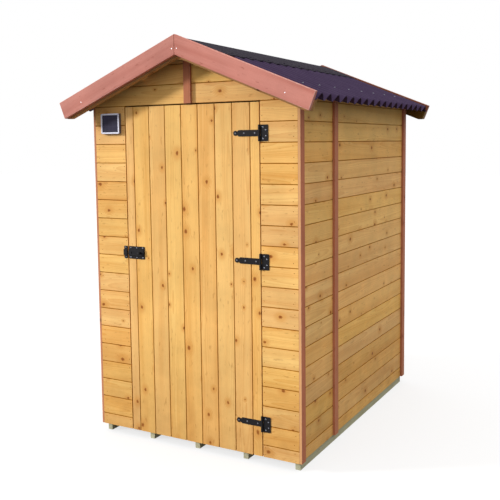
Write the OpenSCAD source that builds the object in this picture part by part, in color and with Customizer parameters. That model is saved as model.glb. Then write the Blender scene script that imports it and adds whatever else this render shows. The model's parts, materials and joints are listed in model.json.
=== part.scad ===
// Wooden outhouse: boarded cabin on bearers, hinged plank door with a flat slide bolt,
// and a pitched roof of corrugated sheets between barge boards.
// Millimetres. +Z is up, the door faces -Y, the origin is on the ground under the
// middle of the roof.

/* [Cabin] */
// Width over the corner strips
cabin_w = 1200; // [1000:10:1600]
// Depth from the front boards to the rear boards
cabin_d = 1580; // [1200:10:2200]
// Height of the side boards above the doorway head
head_rise = 36; // [30:1:120]
// Thickness of the wall boards
board_t = 19; // [15:1:28]
// Side of the square posts, rails and wall plates
post_w = 40; // [30:1:60]
// Width of a door post
door_post_w = 28; // [24:1:40]
// Middle of the side wall seam behind the front face
seam_y = 430; // [250:10:700]

/* [Floor] */
// Height of a bearer, and of the lower edge of the boards above the ground
bearer_h = 42; // [30:1:80]
// Width of a bearer
bearer_w = 28; // [22:1:60]
// Setback of the outer bearers from the faces of the side boards
bearer_inset = 6; // [0:1:15]
// Setback of the bearer ends behind the wall faces
bearer_setback = 25; // [20:1:80]
// Thickness of the floor boards
floor_t = 19; // [15:1:28]

/* [Door] */
// Width of the door leaf
door_w = 776; // [600:2:800]
// Height of the doorway above the lower edge of the boards
doorway_h = 1709; // [1400:1:2100]
// Clearance around the door leaf
door_gap = 6; // [5:0.5:10]
// Height of a door ledge
ledge_h = 90; // [60:5:120]
// Thickness of a door ledge
ledge_t = 20; // [15:1:28]
// Distance of the ledge ends from the door edges
ledge_inset = 34; // [20:1:60]

/* [Hinges] */
// Height of the low hinge above the lower edge of the boards
hinge_low_z = 163; // [120:1:300]
// Height of the middle hinge
hinge_mid_z = 953; // [800:1:1100]
// Distance of the top hinge below the doorway head
hinge_top_drop = 150; // [110:1:250]
// Thickness of the hinge iron
hinge_t = 3; // [2:0.5:4]
// Width of the hinge plate on the wall, from the pin
plate_w = 45; // [30:1:60]
// Height of the hinge plate
plate_h = 77; // [60:1:100]
// Length of the strap from the pin to its round tip
strap_len = 141; // [110:1:250]
// Height of the strap at the pin
strap_h = 30; // [24:1:40]
// Diameter of the round tip of the strap
strap_tip_d = 24; // [16:1:28]
// Outer diameter of the hinge knuckles
knuckle_d = 11; // [9:0.5:14]
// Diameter of the hinge pin
pin_d = 6; // [4:0.5:7]
// Radial clearance of the knuckle on its pin
pin_clear = 0.05; // [0.02:0.01:0.1]

/* [Latch] */
// Height of the slide bolt above the lower edge of the boards
latch_z = 953; // [800:1:1200]
// Length of the latch plate on the door
latch_len = 101; // [90:1:120]
// Height of the latch plate and of its keeper
latch_h = 66; // [60:1:90]
// Thickness of the latch plate and keeper iron
latch_t = 2; // [1.5:0.5:3]
// Width of the flat bolt
bolt_w = 26; // [18:1:32]
// Thickness of the flat bolt
bolt_t = 5; // [3:0.5:8]
// Travel of the bolt
bolt_travel = 48; // [40:1:50]
// Play of the bolt in its cover and keeper
bolt_play = 0.3; // [0.2:0.05:0.6]
// Diameter of the bolt knob
knob_d = 16; // [12:1:22]
// Width of the keeper on the wall
keeper_w = 22; // [16:1:30]

/* [Roof] */
// Roof slope in degrees
roof_slope = 22.2; // [18:0.2:28]
// Overhang of the eaves beyond the corner strips
eave_overhang = 112; // [60:2:200]
// Overhang of the barge boards in front of the front wall
front_overhang = 118; // [100:2:220]
// Overhang of the barge boards behind the rear wall
rear_overhang = 80; // [60:2:220]
// Width of a barge board
barge_w = 90; // [80:1:120]
// Thickness of a barge board
barge_t = 22; // [16:1:28]
// Rise of the barge board above the rafter
barge_rise = 42; // [36:1:55]
// Depth of an outer rafter
rafter_h = 58; // [45:1:80]
// Thickness of an outer rafter
rafter_w = 26; // [20:1:60]
// Side of the square purlins
purlin_w = 40; // [30:1:50]
// Distance of the purlins from the ridge
purlin_x = 265; // [150:5:400]
// Width of the ridge beam
ridge_beam_w = 40; // [30:1:50]
// Depth of the ridge beam
ridge_beam_h = 60; // [45:1:80]
// Wave length of the roof sheet
wave_pitch = 95; // [70:1:130]
// Overall height of the roof sheet waves
wave_h = 36; // [24:1:36]
// Thickness of the roof sheet and of the ridge cap
sheet_t = 3; // [2:0.5:4]
// Length of each ridge cap flange down the slope
cap_flange = 240; // [150:5:300]
// Inner radius of the ridge cap bend
cap_r = 120; // [60:5:160]
// Gap between the roof sheets and the barge boards
sheet_gap = 2; // [1:0.5:8]

/* [Trim] */
// Width of the corner and seam strips
strip_w = 45; // [35:1:70]
// Thickness of the corner and seam strips
strip_t = 14; // [10:1:22]
// Width of the strip over the door
gable_strip_w = 40; // [30:1:60]
// Thickness of the strip over the door
gable_strip_t = 15; // [10:1:25]

/* [Solar panel] */
// Width of the panel
solar_w = 118; // [80:1:130]
// Height of the panel
solar_h = 104; // [70:1:130]
// Depth of the panel frame
solar_t = 18; // [12:1:25]
// Width of the frame rim around the cell
solar_rim = 8; // [5:1:12]
// Distance of the panel middle from the left edge of the front
solar_x = 123; // [110:1:130]
// Distance of the panel middle below the doorway head
solar_drop = 88; // [70:1:400]

/* [Hidden] */
$fn = 48;

// Colours of the finishes
honey = [0.90, 0.69, 0.40];
raw_pine = [0.85, 0.70, 0.48];
red_stain = [0.72, 0.42, 0.36];
green_pine = [0.72, 0.74, 0.60];
bitumen = [0.25, 0.19, 0.28];
black_iron = [0.10, 0.10, 0.13];
pale_plastic = [0.84, 0.84, 0.92];
navy_cell = [0.10, 0.11, 0.22];

// Cut-outs reach this far past the faces they open
over = 5;

// Levels
wall_z = bearer_h;
floor_top = wall_z + floor_t;
doorway_z = wall_z + doorway_h;
eave_z = doorway_z + head_rise;

// Plan: front and rear faces, and the faces of the side boards from the middle
roof_len = front_overhang + cabin_d + rear_overhang;
front_y = front_overhang - roof_len / 2;
rear_y = front_y + cabin_d;
board_out = cabin_w / 2 - strip_t;
board_in = board_out - board_t;
doorway_x = door_w / 2 + door_gap;
bearer_x = board_out - bearer_inset - bearer_w / 2;

// Roof: the bearing plane carries the sheets, s runs down the slope, n out of it
slope_cos = cos(roof_slope);
slope_sin = sin(roof_slope);
slope_tan = tan(roof_slope);
ridge_z = eave_z + slope_tan * board_out;
eave_s = (cabin_w / 2 + eave_overhang) / slope_cos;
barge_low = barge_rise - barge_w;
eave_cut_z = slope_z(eave_s, barge_low);
barge_in_y = front_y - front_overhang + barge_t;
roof_in_len = roof_len - 2 * barge_t;
sheet_len = roof_in_len - 2 * sheet_gap;
wave_count = floor(sheet_len / wave_pitch);
wave_steps = 12;
wave_step = wave_pitch / wave_steps;
wave_start = (sheet_len - wave_count * wave_pitch) / 2;
cap_apex_z = ridge_z + wave_h / slope_cos;
cap_centre_z = cap_apex_z - cap_r / slope_cos;
cap_steps = 12;
sheet_top_s = cap_r * slope_tan - wave_h * slope_tan + over;
ridge_beam_top = bearing_z(ridge_beam_w / 2);
ridge_beam_low = ridge_beam_top - ridge_beam_h;
plate_top = bearing_z(board_in);
plate_low = plate_top - post_w;

// Door, hinges and latch
door_top = doorway_z - door_gap;
ledge_zs = [wall_z + hinge_low_z, wall_z + hinge_mid_z, doorway_z - hinge_top_drop];
pin_x = door_w / 2 + door_gap / 2;
pin_y = front_y - knuckle_d / 2;
knuckle_gap = 0.5;
strap_neck_h = strap_tip_d * 0.6;
strap_shoulder = strap_tip_d / 3;
cover_wall = 2;
cover_h = latch_t + bolt_t + 2 * bolt_play + cover_wall;
latch_x = -door_w / 2 + latch_t;
bolt_mid_z = wall_z + latch_z;
bolt_back_y = front_y - latch_t - bolt_play;
bolt_len = latch_len - knob_d / 2;
bolt_tip_x = -door_w / 2;
stem_d = knob_d / 2;
stem_len = cover_wall + bolt_play + 5;
stem_x = bolt_tip_x + bolt_len - knob_d;
keeper_x = -doorway_x - 1 - keeper_w;

function slope_x(s, n) = s * slope_cos + n * slope_sin;
function slope_z(s, n) = ridge_z - s * slope_sin + n * slope_cos;
function slope_point(s, n) = [slope_x(s, n), slope_z(s, n)];
// Height of the bearing plane at a distance from the ridge
function bearing_z(x) = ridge_z - slope_tan * x;
// Distance down the slope at which a line at height n meets the level eave cut
function eave_cut_s(n) = (ridge_z + n * slope_cos - eave_cut_z) / slope_sin;
// Lower eave end of a board: square, and level where it hangs lower than the barge board
function eave_end(low) = low < barge_low
    ? [slope_point(eave_cut_s(low), low), slope_point(eave_s, barge_low)]
    : [slope_point(eave_s, low)];
// Height of the wave underside at a distance along the sheet
function wave_n(y) = (wave_h - sheet_t) / 2 * (1 - cos(360 * (y - wave_start) / wave_pitch));

// A flat shape in X and Z, given thickness t from y backwards
module upright(y, t) {
    translate([0, y + t, 0])
        rotate([90, 0, 0])
            linear_extrude(t)
                children();
}

// A bar from one corner to the opposite one
module bar(low, high) {
    translate(low)
        cube(high - low);
}

// Repeats on both sides of the middle plane
module both_sides() {
    children();
    mirror([1, 0, 0])
        children();
}

// One sloping board of the gable end between heights low and high over the bearing
// plane, mitred at the ridge and cut off at the eave
module slope_board(y, t, low, high) {
    upright(y, t)
        polygon(concat(
            [[0, ridge_z + low / slope_cos]],
            eave_end(low),
            [slope_point(eave_s, high), [0, ridge_z + high / slope_cos]]
        ));
}

// Gable boards from the doorway height to the sheets, notched over the purlins
module gable(y) {
    difference() {
        upright(y, board_t)
            polygon([
                [-board_out, doorway_z],
                [board_out, doorway_z],
                [board_out, bearing_z(board_out)],
                [0, ridge_z],
                [-board_out, bearing_z(board_out)]
            ]);
        both_sides()
            purlin_bar(y - over, board_t + 2 * over, over);
        bar([-ridge_beam_w / 2, y - over, ridge_beam_low],
            [ridge_beam_w / 2, y + board_t + over, ridge_z + over]);
    }
}

// A purlin of the right slope, its top raised over the bearing plane by rise
module purlin_bar(y, len, rise) {
    s = purlin_x / slope_cos;
    upright(y, len)
        polygon([
            slope_point(s - purlin_w / 2, -purlin_w),
            slope_point(s + purlin_w / 2, -purlin_w),
            slope_point(s + purlin_w / 2, rise),
            slope_point(s - purlin_w / 2, rise)
        ]);
}

// Side boards of the right wall between two depths
module side_wall(y0, y1) {
    bar([board_in, y0, wall_z], [board_out, y1, eave_z]);
}

// Strip on the right side wall, starting at depth y
module side_strip(y) {
    bar([board_out, y, wall_z], [cabin_w / 2, y + strip_w, bearing_z(cabin_w / 2)]);
}

// Corrugated sheet of the right slope
module roof_sheet() {
    first = ceil(-wave_start / wave_step);
    last = floor((sheet_len - wave_start) / wave_step);
    ys = concat(
        [0],
        [for (k = [first : last]) let (y = wave_start + k * wave_step)
            if (y > 0.1 && y < sheet_len - 0.1) y],
        [sheet_len]);
    low_edge = [for (y = ys) [y, wave_n(y)]];
    high_edge = [for (i = [len(ys) - 1 : -1 : 0]) [ys[i], wave_n(ys[i]) + sheet_t]];
    translate([slope_x(sheet_top_s, 0), barge_in_y + sheet_gap, slope_z(sheet_top_s, 0)])
        rotate([0, 90 + roof_slope, 0])
            rotate([0, 0, 90])
                linear_extrude(eave_s - sheet_gap - sheet_top_s)
                    polygon(concat(low_edge, high_edge));
}

// Half of a ridge cap outline at height n over the sheet crests, from the eave side
function cap_edge(n) = concat(
    [slope_point(cap_flange, wave_h + n)],
    [for (i = [cap_steps : -1 : -cap_steps]) let (a = roof_slope * i / cap_steps)
        [(cap_r + n) * sin(a), cap_centre_z + (cap_r + n) * cos(a)]],
    [[-slope_x(cap_flange, wave_h + n), slope_z(cap_flange, wave_h + n)]]);

function reversed(list) = [for (i = [len(list) - 1 : -1 : 0]) list[i]];

// Hinge plate on the wall with its two knuckles and the pin
module hinge_plate(z) {
    free_h = strap_h / 2 + knuckle_gap;
    translate([pin_x, 0, z]) {
        difference() {
            union() {
                bar([0, front_y - hinge_t, -plate_h / 2], [plate_w, front_y, plate_h / 2]);
                translate([0, pin_y, -plate_h / 2])
                    cylinder(h = plate_h, d = knuckle_d);
            }
            bar([-knuckle_d, front_y - 2 * knuckle_d, -free_h],
                [knuckle_d / 2 + 2, front_y + over, free_h]);
        }
        translate([0, pin_y, -plate_h / 2])
            cylinder(h = plate_h, d = pin_d);
    }
}

// Strap on the door with its bored knuckle, shouldered neck and round tip
module hinge_strap(z) {
    tip_x = -strap_len + strap_tip_d / 2;
    neck_x = tip_x + strap_tip_d / 2 - 2;
    shoulder_x = neck_x + strap_shoulder;
    translate([pin_x, 0, z])
        difference() {
            union() {
                upright(front_y - hinge_t, hinge_t)
                    polygon([
                        [0, -strap_h / 2],
                        [0, strap_h / 2],
                        [shoulder_x, strap_h / 2 - 1],
                        [neck_x, strap_neck_h / 2],
                        [tip_x, strap_neck_h / 2],
                        [tip_x, -strap_neck_h / 2],
                        [neck_x, -strap_neck_h / 2],
                        [shoulder_x, -strap_h / 2 + 1]
                    ]);
                upright(front_y - hinge_t, hinge_t)
                    translate([tip_x, 0])
                        circle(d = strap_tip_d);
                translate([0, pin_y, -strap_h / 2])
                    cylinder(h = strap_h, d = knuckle_d);
            }
            translate([0, pin_y, -plate_h / 2])
                cylinder(h = plate_h, r = pin_d / 2 + pin_clear);
        }
}

// The passage that the bolt slides through, along X between two places
module bolt_passage(x0, x1) {
    bar([x0, front_y - latch_t - bolt_t - 2 * bolt_play, bolt_mid_z - bolt_w / 2 - bolt_play],
        [x1, front_y - latch_t, bolt_mid_z + bolt_w / 2 + bolt_play]);
}

module floor_bearers() {
    color(green_pine)
        for (i = [-2 : 2])
            translate([i / 2 * bearer_x - bearer_w / 2, front_y + bearer_setback, 0])
                cube([bearer_w, cabin_d - 2 * bearer_setback, bearer_h]);
}

module floor_deck() {
    color(raw_pine)
        bar([-board_in, front_y + board_t + door_gap, wall_z],
            [board_in, rear_y - board_t, floor_top]);
}

module front_wall_left() {
    color(honey)
        bar([-board_out, front_y, wall_z], [-doorway_x, front_y + board_t, doorway_z]);
}

module front_wall_right() {
    color(honey)
        bar([doorway_x, front_y, wall_z], [board_out, front_y + board_t, doorway_z]);
}

module front_gable() {
    color(honey)
        gable(front_y);
}

module rear_wall() {
    color(honey)
        bar([-board_out, rear_y - board_t, wall_z], [board_out, rear_y, doorway_z]);
}

module rear_gable() {
    color(honey)
        gable(rear_y - board_t);
}

module left_wall_front() {
    mirror([1, 0, 0])
        right_wall_front();
}

module left_wall_rear() {
    mirror([1, 0, 0])
        right_wall_rear();
}

module right_wall_front() {
    color(honey)
        side_wall(front_y + board_t, front_y + seam_y);
}

module right_wall_rear() {
    color(honey)
        side_wall(front_y + seam_y, rear_y - board_t);
}

module corner_posts() {
    color(raw_pine)
        both_sides()
            for (y = [front_y + board_t, rear_y - board_t - post_w])
                bar([board_in - post_w, y, floor_top], [board_in, y + post_w, plate_low]);
}

module door_posts() {
    color(raw_pine)
        both_sides()
            bar([doorway_x, front_y + board_t, floor_top],
                [doorway_x + door_post_w, front_y + board_t + post_w, doorway_z]);
}

module seam_posts() {
    color(raw_pine)
        both_sides()
            bar([board_in - post_w, front_y + seam_y - post_w / 2, floor_top],
                [board_in, front_y + seam_y + post_w / 2, plate_low]);
}

// Rail across the cabin at the doorway height, between the wall plates
module head_rail(y) {
    bar([post_w - board_in, y, doorway_z], [board_in - post_w, y + post_w, doorway_z + post_w]);
}

module front_head_rail() {
    color(raw_pine)
        head_rail(front_y + board_t);
}

module rear_head_rail() {
    color(raw_pine)
        head_rail(rear_y - board_t - post_w);
}

module left_wall_plate() {
    mirror([1, 0, 0])
        right_wall_plate();
}

module right_wall_plate() {
    color(raw_pine)
        bar([board_in - post_w, front_y + board_t, plate_low],
            [board_in, rear_y - board_t, plate_top]);
}

module ridge_beam() {
    color(raw_pine)
        bar([-ridge_beam_w / 2, barge_in_y + rafter_w, ridge_beam_low],
            [ridge_beam_w / 2, -barge_in_y - rafter_w, ridge_beam_top]);
}

module left_purlin() {
    mirror([1, 0, 0])
        right_purlin();
}

module right_purlin() {
    color(raw_pine)
        purlin_bar(barge_in_y + rafter_w, -2 * (barge_in_y + rafter_w), 0);
}

module front_left_rafter() {
    mirror([1, 0, 0])
        front_right_rafter();
}

module front_right_rafter() {
    color(raw_pine)
        slope_board(barge_in_y, rafter_w, -rafter_h, 0);
}

module rear_left_rafter() {
    mirror([1, 0, 0])
        rear_right_rafter();
}

module rear_right_rafter() {
    color(raw_pine)
        slope_board(-barge_in_y - rafter_w, rafter_w, -rafter_h, 0);
}

module front_left_barge_board() {
    mirror([1, 0, 0])
        front_right_barge_board();
}

module front_right_barge_board() {
    color(red_stain)
        slope_board(barge_in_y - barge_t, barge_t, barge_low, barge_rise);
}

module rear_left_barge_board() {
    mirror([1, 0, 0])
        rear_right_barge_board();
}

module rear_right_barge_board() {
    color(red_stain)
        slope_board(-barge_in_y, barge_t, barge_low, barge_rise);
}

module left_roof_sheet() {
    mirror([1, 0, 0])
        right_roof_sheet();
}

module right_roof_sheet() {
    color(bitumen)
        roof_sheet();
}

module ridge_cap() {
    color(bitumen)
        upright(barge_in_y + sheet_gap, sheet_len)
            polygon(concat(cap_edge(sheet_t), reversed(cap_edge(0))));
}

module corner_strips() {
    color(red_stain)
        both_sides() {
            side_strip(front_y);
            side_strip(rear_y - strip_w);
        }
}

module seam_strips() {
    color(red_stain)
        both_sides()
            side_strip(front_y + seam_y - strip_w / 2);
}

module gable_strip() {
    color(red_stain)
        bar([-gable_strip_w / 2, front_y - gable_strip_t, doorway_z],
            [gable_strip_w / 2, front_y, ridge_beam_low]);
}

module door_leaf() {
    color(honey)
        bar([-door_w / 2, front_y, wall_z], [door_w / 2, front_y + board_t, door_top]);
}

module door_ledges() {
    color(raw_pine)
        for (z = ledge_zs)
            bar([ledge_inset - door_w / 2, front_y + board_t, z - ledge_h / 2],
                [door_w / 2 - ledge_inset, front_y + board_t + ledge_t, z + ledge_h / 2]);
}

module hinge_plates() {
    color(black_iron)
        for (z = ledge_zs)
            hinge_plate(z);
}

module hinge_straps() {
    color(black_iron)
        for (z = ledge_zs)
            hinge_strap(z);
}

module latch_plate() {
    cover_x = latch_x + cover_wall;
    cover_end = latch_x + latch_len - cover_wall;
    cover_half = bolt_w / 2 + bolt_play + cover_wall;
    color(black_iron)
        difference() {
            union() {
                bar([latch_x, front_y - latch_t, bolt_mid_z - latch_h / 2],
                    [latch_x + latch_len, front_y, bolt_mid_z + latch_h / 2]);
                bar([cover_x, front_y - cover_h, bolt_mid_z - cover_half],
                    [cover_end, front_y - latch_t, bolt_mid_z + cover_half]);
            }
            bolt_passage(latch_x - over, latch_x + latch_len + over);
            bar([stem_x - bolt_travel - stem_d, front_y - cover_h - over, bolt_mid_z - stem_d / 2 - 1],
                [stem_x + stem_d, front_y - latch_t - bolt_play, bolt_mid_z + stem_d / 2 + 1]);
        }
}

module latch_bolt() {
    color(black_iron)
        translate([bolt_tip_x, 0, bolt_mid_z]) {
            upright(bolt_back_y - bolt_t, bolt_t) {
                translate([bolt_w / 2, 0])
                    circle(d = bolt_w);
                translate([bolt_w / 2, -bolt_w / 2])
                    square([bolt_len - bolt_w / 2, bolt_w]);
            }
            translate([stem_x - bolt_tip_x, bolt_back_y - bolt_t, 0])
                rotate([90, 0, 0])
                    knob();
        }
}

// Turned knob on its stem, standing on the bolt along +Z
module knob() {
    r = knob_d / 2;
    rotate_extrude()
        polygon(concat(
            [[0, -bolt_t / 2], [stem_d / 2, -bolt_t / 2], [stem_d / 2, stem_len]],
            [for (a = [-45 : 15 : 75]) [r * cos(a), stem_len + r * (sin(a) + sin(45)) * 0.75]],
            [[0, stem_len + r * (1 + sin(45)) * 0.75]]));
}

module latch_keeper() {
    half = bolt_w / 2 + bolt_play + cover_wall;
    color(black_iron)
        difference() {
            union() {
                bar([keeper_x, front_y - latch_t, bolt_mid_z - latch_h / 2],
                    [keeper_x + keeper_w, front_y, bolt_mid_z + latch_h / 2]);
                bar([keeper_x, front_y - cover_h, bolt_mid_z - half],
                    [keeper_x + keeper_w, front_y - latch_t, bolt_mid_z + half]);
            }
            bolt_passage(keeper_x - over, keeper_x + keeper_w + over);
        }
}

module solar_frame() {
    x = solar_x - cabin_w / 2;
    z = doorway_z - solar_drop;
    color(pale_plastic)
        difference() {
            bar([x - solar_w / 2, front_y - solar_t, z - solar_h / 2],
                [x + solar_w / 2, front_y, z + solar_h / 2]);
            bar([x - solar_w / 2 + solar_rim, front_y - solar_t - over, z - solar_h / 2 + solar_rim],
                [x + solar_w / 2 - solar_rim, front_y - solar_t / 2, z + solar_h / 2 - solar_rim]);
        }
}

module solar_cell() {
    x = solar_x - cabin_w / 2;
    z = doorway_z - solar_drop;
    face = 2;
    color(navy_cell)
        bar([x - solar_w / 2 + solar_rim, front_y - solar_t + face, z - solar_h / 2 + solar_rim],
            [x + solar_w / 2 - solar_rim, front_y - solar_t / 2, z + solar_h / 2 - solar_rim]);
}

floor_bearers();
floor_deck();
front_wall_left();
front_wall_right();
front_gable();
rear_wall();
rear_gable();
left_wall_front();
left_wall_rear();
right_wall_front();
right_wall_rear();
corner_posts();
door_posts();
seam_posts();
front_head_rail();
rear_head_rail();
left_wall_plate();
right_wall_plate();
ridge_beam();
left_purlin();
right_purlin();
front_left_rafter();
front_right_rafter();
rear_left_rafter();
rear_right_rafter();
front_left_barge_board();
front_right_barge_board();
rear_left_barge_board();
rear_right_barge_board();
left_roof_sheet();
right_roof_sheet();
ridge_cap();
corner_strips();
seam_strips();
gable_strip();
door_leaf();
door_ledges();
hinge_plates();
hinge_straps();
latch_plate();
latch_bolt();
latch_keeper();
solar_frame();
solar_cell();
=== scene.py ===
# Wooden outhouse: tongued boards, corrugated roof, red trim and black ironmongery,
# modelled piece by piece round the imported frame. Metres, +Z up, the door faces -Y.
import json
import math
import random
from contextlib import contextmanager

import bmesh
import bpy
from mathutils import Euler, Matrix, Vector


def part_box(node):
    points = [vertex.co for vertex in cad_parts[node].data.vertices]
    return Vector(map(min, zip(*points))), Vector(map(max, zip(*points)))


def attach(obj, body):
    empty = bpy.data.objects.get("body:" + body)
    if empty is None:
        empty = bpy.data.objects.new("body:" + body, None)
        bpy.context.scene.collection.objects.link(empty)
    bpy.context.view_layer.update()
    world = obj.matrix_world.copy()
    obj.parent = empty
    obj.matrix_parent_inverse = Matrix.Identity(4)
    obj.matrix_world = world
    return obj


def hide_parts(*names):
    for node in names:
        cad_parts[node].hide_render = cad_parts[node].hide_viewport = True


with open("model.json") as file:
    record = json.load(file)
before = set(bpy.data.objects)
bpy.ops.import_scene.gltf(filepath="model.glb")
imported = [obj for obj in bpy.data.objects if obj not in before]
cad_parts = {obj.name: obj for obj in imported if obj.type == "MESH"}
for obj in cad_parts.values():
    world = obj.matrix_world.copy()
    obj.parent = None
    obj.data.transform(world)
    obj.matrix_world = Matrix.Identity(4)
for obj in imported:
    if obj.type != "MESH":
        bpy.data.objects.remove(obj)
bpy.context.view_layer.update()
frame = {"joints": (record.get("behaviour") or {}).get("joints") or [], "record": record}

# Boards and their joints
BOARD_COVER = 0.097
FIRST_JOINT_Z = 0.102
DOOR_FIRST_JOINT = -0.338
JOINT_GAP = 0.0018
JOINT_ROUND = 0.0034
TONGUE_FRONT = 0.005
TONGUE_BACK = 0.0125
TONGUE_LEN = 0.006
GROOVE_DEPTH = 0.0065
DECK_FIRST_JOINT = 0.0

# Each board's place in its log, drawn at random
LOG_LENGTH = 40
HEART_ASIDE = 0.05
HEART_DEPTH = (0.02, 0.10)
LEAN_ASIDE = 0.03
LEAN_DEEP = 0.02

# Timber sections
POST_W = 0.040
DOOR_POST_W = 0.028
BEARER_W = 0.028
BEARER_COUNT = 5
LEDGE_H = 0.090
STRIP_T = 0.014
STRIP_W = 0.045
PURLIN_W = 0.040
PURLIN_X = 0.265
BARGE_LOW = -0.048
BARGE_RISE = 0.042
RAFTER_LOW = -0.058
BARGE_FACE_IN = 0.0006
RIDGE_SPARE = 0.1
EASED = 0.0016
BARGE_EASED = 0.003
LEDGE_EASED = 0.004
STRIP_EASED = 0.002

# Worn edges of the stain, painted shade on the inner faces of rear boards, and paler outer edges of the
# corner strips
WORN_BELOW = 0.85
# Share of the joint darkening put on rear boards' inner faces as painted shade.
INNER_FACE_SHADE = 0.25
PALER_LEFT = 0.2
PALER_RIGHT = 0.55

# Roof sheets and ridge cap
WAVE_PITCH = 0.095
WAVE_H = 0.036
WAVE_STEPS = 16
SHEET_T = 0.003
SHEET_TOP_S = 0.0393
CAP_FLANGE = 0.240
CAP_RADIUS = 0.120
CAP_BEND_STEPS = 12
CAP_FLANGE_STEPS = 3
CAP_SAG = 0.004
CAP_INNER_SAG = 0.3
PHASES = 8

# Hinges and latch
HINGE_T = 0.003
STRAP_H = 0.030
STRAP_TIP_R = 0.012
STRAP_NECK_H = 0.0144
STRAP_SHOULDER = 0.008
NECK_OVERLAP = 0.002
PLATE_CORNER = 0.004
KNUCKLE_R = 0.0055
PIN_R = 0.003
PIN_SHORT = 0.0002
KNUCKLE_GAP = 0.0005
KNUCKLE_CLEAR = 0.0008
IRON_EASED = 0.0005
ROUND_SIDES = 32
SMALL_SIDES = 20
LATCH_T = 0.002
LATCH_CORNER = 0.003
LATCH_EASED = 0.0004
COVER_WALL = 0.002
BOLT_W = 0.026
BOLT_T = 0.005
BOLT_PLAY = 0.0003
BOLT_TRAVEL = 0.048
KNOB_R = 0.008
KNOB_FLAT = 0.75
STEM_R = 0.004
STEM_PLAY = 0.001
KNOB_SETBACK = 0.016
CUT_PAST = 0.01

# Solar panel
SOLAR_RIM = 0.008
SOLAR_CORNER = 0.004
SOLAR_EASED = 0.0012
PANE_GAP = 0.0004
PANE_EASED = 0.0006

# Fasteners
NAIL_R = 0.0021
NAIL_PROUD = 0.0005
NAIL_SHARES = (0.24, 0.76)
NAIL_STRAY = 0.004
NAIL_STRAY_SHARE = 0.06
CORNER_NAIL_IN = 0.022
DOOR_NAIL_IN = 0.012
STRIP_NAIL_COUNT = 6
STRIP_NAIL_END = 0.10
SCREW_R = 0.0032
SCREW_H = 0.0018
HEAD_SINK = 0.0005
STRAP_SCREW_RUNS = (0.024, 0.082)
PLATE_SCREWS = ((0.020, 0.027), (0.034, 0.014), (0.034, -0.014), (0.020, -0.027))
LATCH_SCREW_SHARES = (0.12, 0.5, 0.88)
LATCH_SCREW_IN = 0.008
ROOF_NAIL_R = 0.0045
ROOF_NAIL_H = 0.0035
ROOF_NAIL_ROOT = 0.001
CAP_NAIL_IN = 0.025
BARGE_NAIL_R = 0.0027
BARGE_NAIL_RUNS = (0.014, 0.58)
BARGE_NAIL_LOW = 0.017

# Photograph's camera
CAMERA_PLACE = (2.059, -3.918, 1.553)
CAMERA_YAW = math.radians(29.362)
CAMERA_PITCH = math.radians(5.381)
CAMERA_ROLL = math.radians(-0.715)
CAMERA_LENS = 54.80
CAMERA_SENSOR = 36
CAMERA_SHIFT = (0.0171, -0.0697)

# Studio floor and light
FLOOR_SIZE = 60
KEY_LEFT = math.radians(58)
KEY_RISE = math.radians(16.5)
KEY_SOFT = math.radians(7)
KEY_STRENGTH = 2.9
SKY_LOW = 0.40
SKY_RISE = 1.22
GROUND = 0.08
FLOOR_GLOW = 0.72
FLOOR_SHADE = 0.26

# Levels and faces of the frame
FRONT_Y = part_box("front_wall_left")[0].y
BOARD_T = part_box("front_wall_left")[1].y - FRONT_Y
EAVE_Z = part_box("right_wall_front")[1].z
BOARD_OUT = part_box("right_wall_front")[1].x
RIDGE_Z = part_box("front_right_rafter")[1].z
SLOPE = math.atan((RIDGE_Z - EAVE_Z) / BOARD_OUT)
EAVE_S = (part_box("front_right_barge_board")[1].x - BARGE_RISE * math.sin(SLOPE)) / math.cos(SLOPE)
PURLIN_S = PURLIN_X / math.cos(SLOPE)
SHEET_LOW, SHEET_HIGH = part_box("right_roof_sheet")
DOOR_SWING = next(j for j in frame["joints"] if j["name"] == "door_swing")
PIN = Vector(DOOR_SWING["pos_m"])
LEDGES_LOW, LEDGES_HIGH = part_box("door_ledges")
HINGE_ZS = (LEDGES_LOW.z + LEDGE_H / 2, PIN.z, LEDGES_HIGH.z - LEDGE_H / 2)
LATCH_Z = (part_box("latch_keeper")[0].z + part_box("latch_keeper")[1].z) / 2

# Directions
ALONG_X = (1, 0, 0)
ALONG_Y = (0, 1, 0)
ALONG_Z = (0, 0, 1)
FACING_TURN = {"front": 0.0, "right": math.pi / 2, "rear": math.pi, "left": -math.pi / 2}
EASE_ANGLE = math.radians(35)
SMOOTH_ANGLE = math.radians(32)

# Places closer than these count as the same
ROW_NEAR = 2e-3
NEAR = 1e-4
TOUCHING = 1e-5
HAIR = 1e-6


# Modelling helpers

def only(piece):
    """Makes the piece the one selected object."""
    bpy.ops.object.select_all(action="DESELECT")
    piece.select_set(True)
    bpy.context.view_layer.objects.active = piece


def settle(piece):
    """Puts the place, turn and size of the object into its mesh."""
    only(piece)
    bpy.ops.object.transform_apply(location=True, rotation=True, scale=True)


def new_piece(add, name, scale=(1, 1, 1), **place):
    """Adds a primitive at its size and place, with nothing else selected."""
    bpy.ops.object.select_all(action="DESELECT")
    add(**place)
    piece = bpy.context.object
    piece.name = name
    piece.scale = scale
    settle(piece)
    return piece


def block(name, low, high):
    """A block between two opposite corners."""
    low = Vector(low)
    high = Vector(high)
    return new_piece(bpy.ops.mesh.primitive_cube_add, name, size=1,
                     location=(low + high) / 2, scale=high - low)


def rod(name, radius, low, high, sides=24):
    """A round bar between two points."""
    low = Vector(low)
    high = Vector(high)
    axis = high - low
    return new_piece(bpy.ops.mesh.primitive_cylinder_add, name, vertices=sides, radius=radius,
                     depth=axis.length, location=(low + high) / 2,
                     rotation=axis.to_track_quat("Z", "Y").to_euler())


@contextmanager
def editing(piece):
    """Edit mode on one piece, with all of it selected."""
    only(piece)
    bpy.ops.object.mode_set(mode="EDIT")
    bpy.ops.mesh.select_all(action="SELECT")
    yield
    bpy.ops.object.mode_set(mode="OBJECT")


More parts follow.
